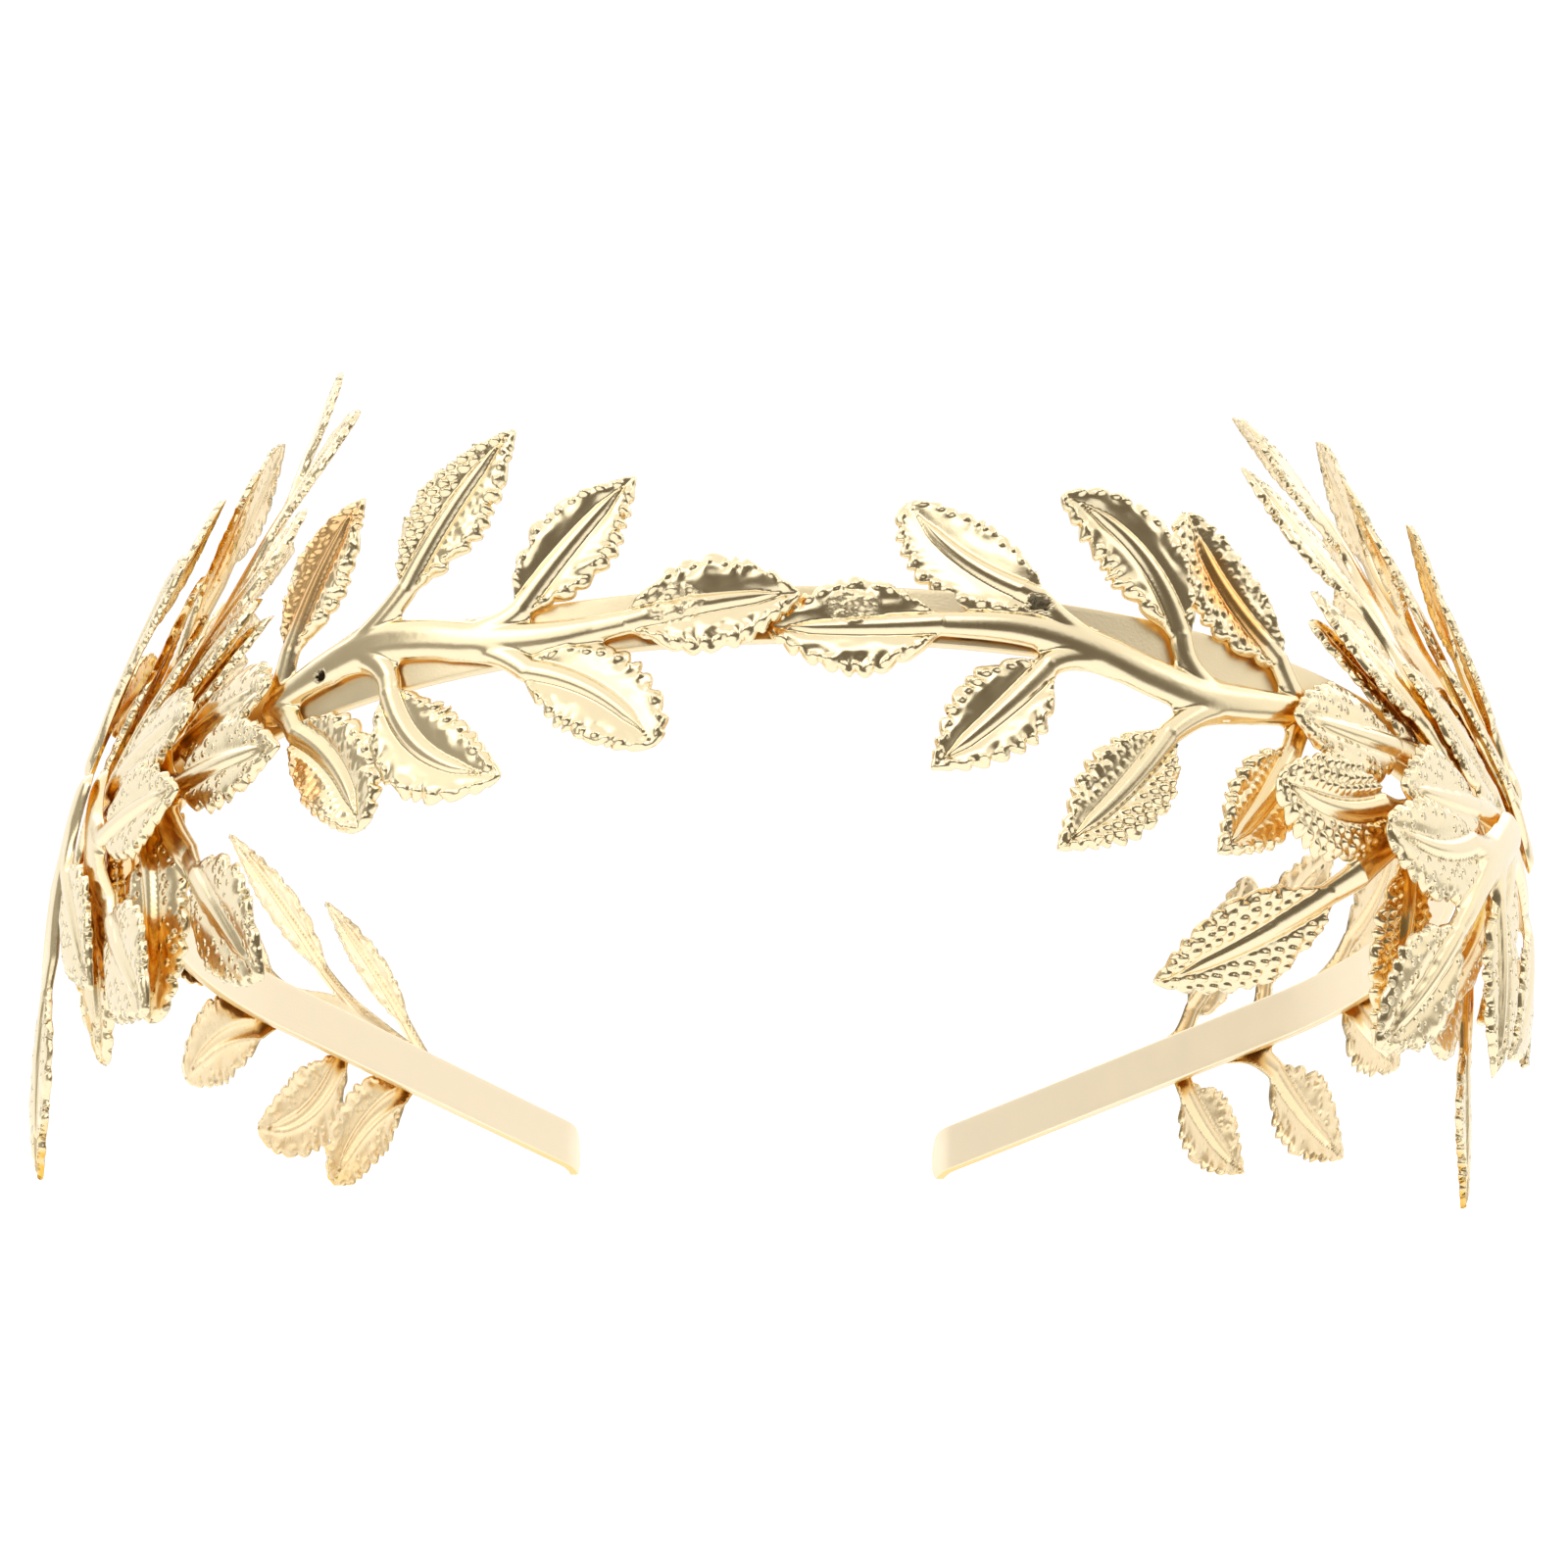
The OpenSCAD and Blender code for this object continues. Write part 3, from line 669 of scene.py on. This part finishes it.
def plating(name, light, back_colour, painted_interreflection, rough, satin, grain_mm, grain_depth):
    """Polished plating: its colour on the front and the back (on the strip a lighter copy, as painted
    light), a deeper gold painted where leaves crowd as painted reflection, a slightly uneven gloss, a
    rolled or pressed grain, pips, the scars and pits that the marks give, and the amber painted
    reflection that they give. Each pattern's scale gives one cell per size in mm on the UV map."""
    m = bpy.data.materials.new(name)
    m.use_nodes = True
    t = m.node_tree
    t.nodes.clear()
    out = add(t, "ShaderNodeOutputMaterial")
    hollow = add(t, "ShaderNodeAttribute", {"attribute_name": "hollow"})
    scar = add(t, "ShaderNodeAttribute", {"attribute_name": "dull"})
    pips = add(t, "ShaderNodeAttribute", {"attribute_name": "pips"})
    painted_amber_reflection = add(t, "ShaderNodeAttribute", {"attribute_name": "painted_amber_reflection"})
    uv = add(t, "ShaderNodeUVMap", {"uv_map": "flat"})
    on_sheet = {"Vector": uv.outputs["UV"]}

    # the back's colour: on the strip's inner face a lighter copy of the outer colour, as painted light
    tint = add(t, "ShaderNodeMix", {"data_type": "RGBA", 6: colour(light), 7: colour(back_colour)},
               {"Factor": hollow.outputs["Fac"]})
    # painted reflection: where leaves crowd, the light that comes by way of other leaves is painted
    # into the colour as a deeper gold
    open_sky = add(t, "ShaderNodeAmbientOcclusion", {"samples": 4, "Distance": 0.012})
    crowd = add(t, "ShaderNodeMapRange",
                {"interpolation_type": "SMOOTHSTEP", "From Min": 0.66, "From Max": 0.20},
                {"Value": open_sky.outputs["AO"]})
    tint = add(t, "ShaderNodeMix", {"data_type": "RGBA", 7: colour(painted_interreflection)},
               {"Factor": crowd.outputs["Result"], 6: tint.outputs[2]})
    # painted reflection: amber painted on single leaves beside the ones where leaves crowd
    tint = add(t, "ShaderNodeMix", {"data_type": "RGBA", 7: colour("#fcbc62")},
               {"Factor": painted_amber_reflection.outputs["Fac"], 6: tint.outputs[2]})
    # a dull mark over one is a pit, painted dark
    pitted = add(t, "ShaderNodeMath", {"operation": "SUBTRACT", "use_clamp": True, 1: 1.0},
                 {0: scar.outputs["Fac"]})
    tint = add(t, "ShaderNodeMix", {"data_type": "RGBA", 7: colour("#2c2114")},
               {"Factor": pitted.outputs["Value"], 6: tint.outputs[2]})

    # gloss in clouds 3 mm across; scars and backs are duller than the polished front
    cloud = add(t, "ShaderNodeTexNoise", {"Scale": UV_MM / 3.0, "Detail": 3.0}, on_sheet)
    gloss = add(t, "ShaderNodeMapRange", {"To Min": rough * 0.75, "To Max": rough * 1.3},
                {"Value": cloud.outputs["Fac"]})
    gloss = add(t, "ShaderNodeMath", {"operation": "MULTIPLY_ADD", 1: 0.1},
                {0: scar.outputs["Fac"], 2: gloss.outputs["Result"]})
    gloss = add(t, "ShaderNodeMath", {"operation": "MULTIPLY_ADD", 1: satin},
                {0: hollow.outputs["Fac"], 2: gloss.outputs["Value"]})

    grain = add(t, "ShaderNodeTexNoise", {"Scale": UV_MM / grain_mm, "Detail": 2.0}, on_sheet)
    bump = add(t, "ShaderNodeBump", {"Strength": grain_depth, "Distance": 0.0001},
               {"Height": grain.outputs["Fac"]})
    # weld scars are spattered: fine crumbs, 0.55 mm apart
    crumbs = add(t, "ShaderNodeTexNoise", {"Scale": UV_MM / 0.55, "Detail": 2.0}, on_sheet)
    spatter = add(t, "ShaderNodeMath", {"operation": "MULTIPLY"},
                  {0: crumbs.outputs["Fac"], 1: scar.outputs["Fac"]})
    bump = add(t, "ShaderNodeBump", {"Strength": 1.0, "Distance": 0.00012},
               {"Height": spatter.outputs["Value"], "Normal": bump.outputs["Normal"]})
    # punched pips: one dome 0.9 mm across in each 1.1 mm cell
    cell = add(t, "ShaderNodeTexVoronoi", {"Scale": UV_MM / PIP_PITCH, "Randomness": 0.5}, on_sheet)
    dome = add(t, "ShaderNodeMapRange",
               {"interpolation_type": "SMOOTHSTEP", "From Min": 0.42, "From Max": 0.04},
               {"Value": cell.outputs["Distance"]})
    raised = add(t, "ShaderNodeMath", {"operation": "MULTIPLY"},
                 {0: dome.outputs["Result"], 1: pips.outputs["Fac"]})
    bump = add(t, "ShaderNodeBump", {"Strength": 1.0, "Distance": 0.0022},
               {"Height": raised.outputs["Value"], "Normal": bump.outputs["Normal"]})

    metal = add(t, "ShaderNodeBsdfPrincipled", {"Metallic": 1.0},
                {"Base Color": tint.outputs[2], "Roughness": gloss.outputs["Value"],
                 "Normal": bump.outputs["Normal"]})
    t.links.new(metal.outputs["BSDF"], out.inputs["Surface"])
    return m


def plain(name, hexes, rough):
    """Plain matt or satin finish of one colour."""
    m = bpy.data.materials.new(name)
    m.use_nodes = True
    b = m.node_tree.nodes["Principled BSDF"]
    b.inputs["Base Color"].default_value = colour(hexes)
    b.inputs["Roughness"].default_value = rough
    return m


# Brass sheet, die-stamped, barrel-polished and plated pale gold: bright relief that mirrors
# the room softly. The press's grain is drawn at 0.9 mm, coarser than real, so that it shows.
# the gold painted where leaves crowd is a painted reflection
LEAF = plating("pale_gold_plated_brass_stamped", light="#f6e6c0", back_colour="#f8e2b8",
               painted_interreflection="#f4c04c", rough=0.21, satin=0.06, grain_mm=0.9, grain_depth=0.12)
# Rolled brass strip, plated the same: flat and a little satin. Its inner face is painted lighter
# than its outer face, as painted light. Its grain is drawn at 0.3 mm, coarser than real, so that it
# shows.
# the gold painted where the strip meets leaves is a painted reflection
STRIP = plating("pale_gold_plated_brass_strip", light="#efdfbb", back_colour="#fdeed0",
                painted_interreflection="#f3d28c", rough=0.36, satin=0.06, grain_mm=0.3, grain_depth=0.15)

band = make_mesh("strip_face", band_sheet(), STRIP)
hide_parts("band")
for node_name, place in SPRIGS.items():
    piece_name = node_name.replace("sprig", "leaves").replace("spray", "leaflets")
    piece = make_mesh(piece_name, stamping(node_name, place), LEAF)
    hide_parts(node_name)


# Studio, in metres. Acrylic sheet, white and lit from behind: an even, matt, pale table.
ACRYLIC = plain("backlit_white_acrylic", "#909090", 0.8)
shader = ACRYLIC.node_tree.nodes["Principled BSDF"]
shader.inputs["Emission Color"].default_value = colour("#fcfdff")
shader.inputs["Emission Strength"].default_value = 0.94


def sweep():
    """Pale table that curves up into the wall behind: a floor, a quarter round, a wall."""
    half_width, front, bend_start, bend_r, wall_top = 4.5, -2.4, 0.9, 0.5, 2.2
    turn = np.linspace(0, np.pi / 2, 24)
    y = np.concatenate([[front], bend_start + bend_r * np.sin(turn), [bend_start + bend_r]])
    z = np.concatenate([[0], bend_r * (1 - np.cos(turn)), [wall_top]])
    n = len(y)
    points = [(x, b, c) for x in (-half_width, half_width) for b, c in zip(y.tolist(), z.tolist())]
    me = bpy.data.meshes.new("sweep")
    me.from_pydata(points, [], [(i, n + i, n + i + 1, i + 1) for i in range(n - 1)])
    me.shade_smooth()
    me.materials.append(ACRYLIC)
    ob = bpy.data.objects.new("sweep", me)
    bpy.context.scene.collection.objects.link(ob)


def tent():
    """White tent as the world's colour, fading to dark round one direction, the open front."""
    world = bpy.data.worlds.new("tent")
    bpy.context.scene.world = world
    world.use_nodes = True
    w = world.node_tree
    ray = add(w, "ShaderNodeTexCoord")
    facing = add(w, "ShaderNodeVectorMath", {"operation": "DOT_PRODUCT", 1: (0.14, -0.80, 0.58)},
                 {0: ray.outputs["Generated"]})
    dark = add(w, "ShaderNodeMapRange",
               {"interpolation_type": "SMOOTHSTEP", "From Min": 0.05, "From Max": 0.98},
               {"Value": facing.outputs["Value"]})
    cloth = add(w, "ShaderNodeMix", {"data_type": "RGBA", 6: colour("#aaa499"), 7: colour("#6b6254")},
                {"Factor": dark.outputs["Result"]})
    w.links.new(cloth.outputs[2], w.nodes["Background"].inputs["Color"])


# Softboxes: where they stand, what they face, width, height, power in watts
SOFTBOXES = {
    "top":   ((0.0, 0.08, 0.42), (0, 0.08, 0), 1.1, 0.9, 2.6),
    "left":  ((-0.55, -0.42, 0.50), (0, 0, 0.04), 0.55, 0.5, 0.95),
    "right": ((0.75, -0.05, 0.40), (0, 0, 0.04), 0.5, 0.5, 0.6),
    "front": ((0.05, -0.36, 0.41), (0.05, -0.36, 0), 0.22, 0.26, 0.23),
}


def softbox(name, at, aim, wide, tall, watts):
    """Rectangular area light at one point, facing another."""
    light = bpy.data.lights.new(name, "AREA")
    light.shape = "RECTANGLE"
    light.size, light.size_y = wide, tall
    light.energy = watts
    ob = bpy.data.objects.new(name, light)
    bpy.context.scene.collection.objects.link(ob)
    ob.location = at
    ob.rotation_euler = (Vector(aim) - Vector(at)).to_track_quat("-Z", "Y").to_euler()


# Camera: its turns about the ring's axes and its place in mm before them, sensor width in mm,
# focal length and frame width in pixels of the photograph
CAM_TILT, CAM_YAW, CAM_ROLL = np.radians([-23.33, 3.46, -0.43])
CAM_AT = np.array([-1.285, -532.0, 13.98])
SENSOR, FOCAL_PX, FRAME_PX = 36, 5049, 1600


def camera():
    """The photograph's view: turns about the ring's own axes, then its distance and shift."""
    view = turn_y(CAM_ROLL) @ turn_x(CAM_TILT) @ turn_z(CAM_YAW)
    eye = rest((CAM_AT @ view)[None])[0]
    right, ahead, up = rest(view @ np.eye(3)) - REST_SHIFT
    turn = Matrix([[right[i], up[i], -ahead[i]] for i in range(3)]).to_4x4()
    turn.translation = Vector(eye * MM)
    cam = bpy.data.cameras.new("camera")
    cam.sensor_width = SENSOR
    cam.lens = SENSOR * FOCAL_PX / FRAME_PX
    cam.clip_start = 0.01
    ob = bpy.data.objects.new("camera", cam)
    bpy.context.scene.collection.objects.link(ob)
    ob.matrix_world = turn
    bpy.context.scene.camera = ob


sweep()
tent()
for box_name, numbers in SOFTBOXES.items():
    softbox(box_name, *numbers)
camera()
bpy.context.scene.view_settings.view_transform = "Standard"
